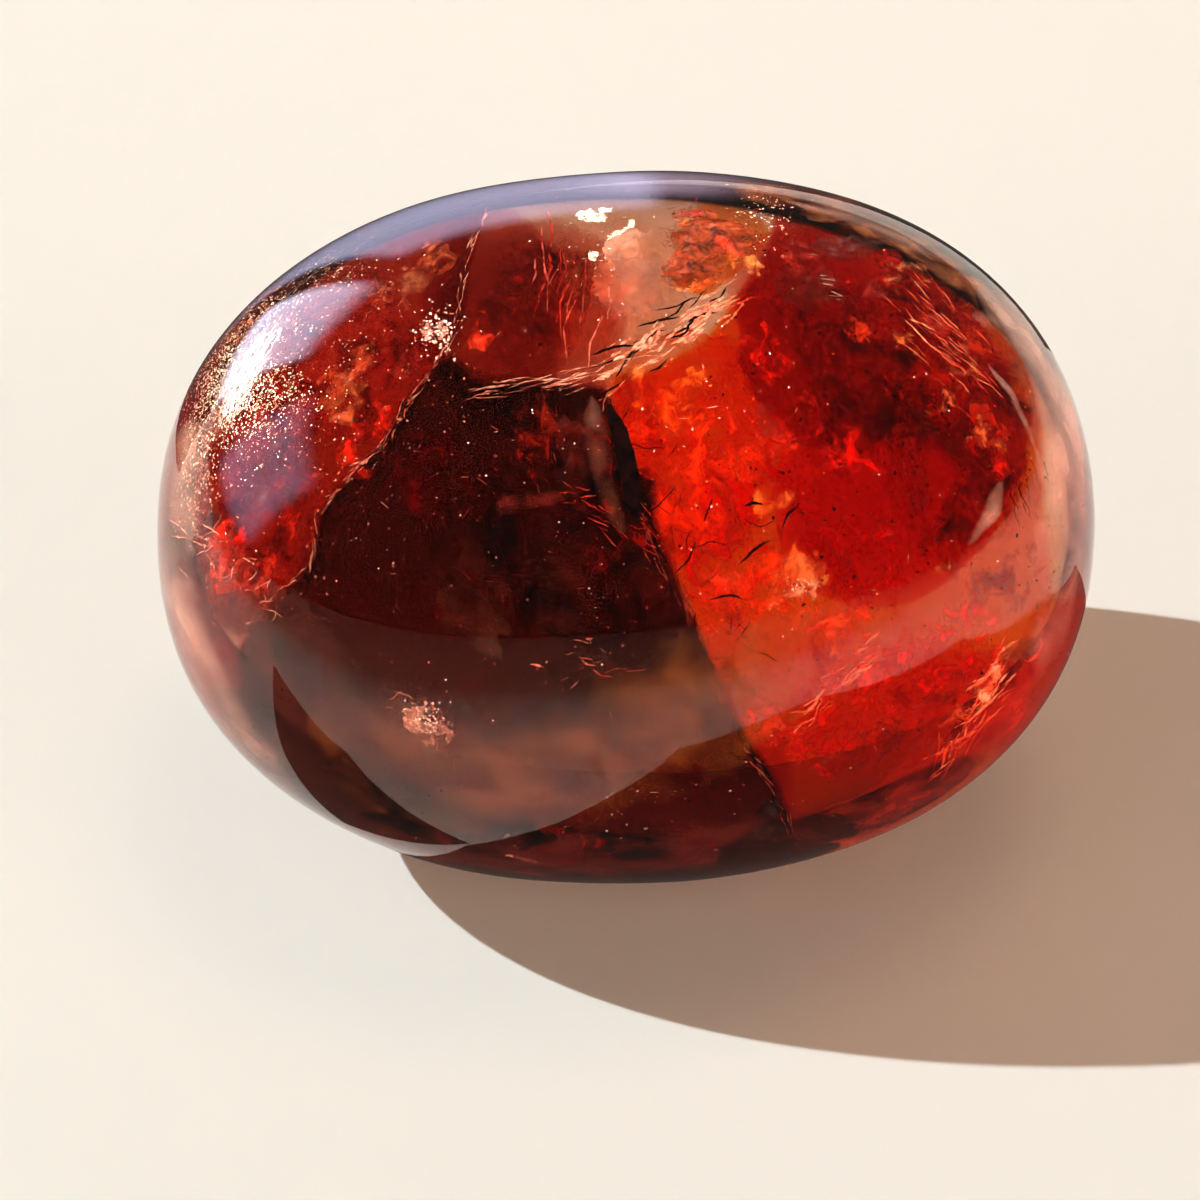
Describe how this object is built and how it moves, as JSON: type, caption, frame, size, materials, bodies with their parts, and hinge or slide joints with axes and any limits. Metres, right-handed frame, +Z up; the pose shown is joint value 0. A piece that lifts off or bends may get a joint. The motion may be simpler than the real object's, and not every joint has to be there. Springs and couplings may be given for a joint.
{
  "type": "polished fire quartz stone",
  "caption": "Rounded, polished palm stone of clear quartz with red and dark iron-oxide inclusions, lying on its flattest side.",
  "frame": {"origin": "on the surface the stone rests on, below the middle of its box", "axes": "+X along the stone's longest side, towards its slightly taller end; +Y away from the pictured front; +Z up, along its shortest side"},
  "size_m": [0.06, 0.0456, 0.0424],
  "materials": {
    "quartz": "polished, see-through quartz with red iron-oxide inclusions"
  },
  "bodies": {
    "root": {"stone": "quartz"}
  },
  "joints": []
}
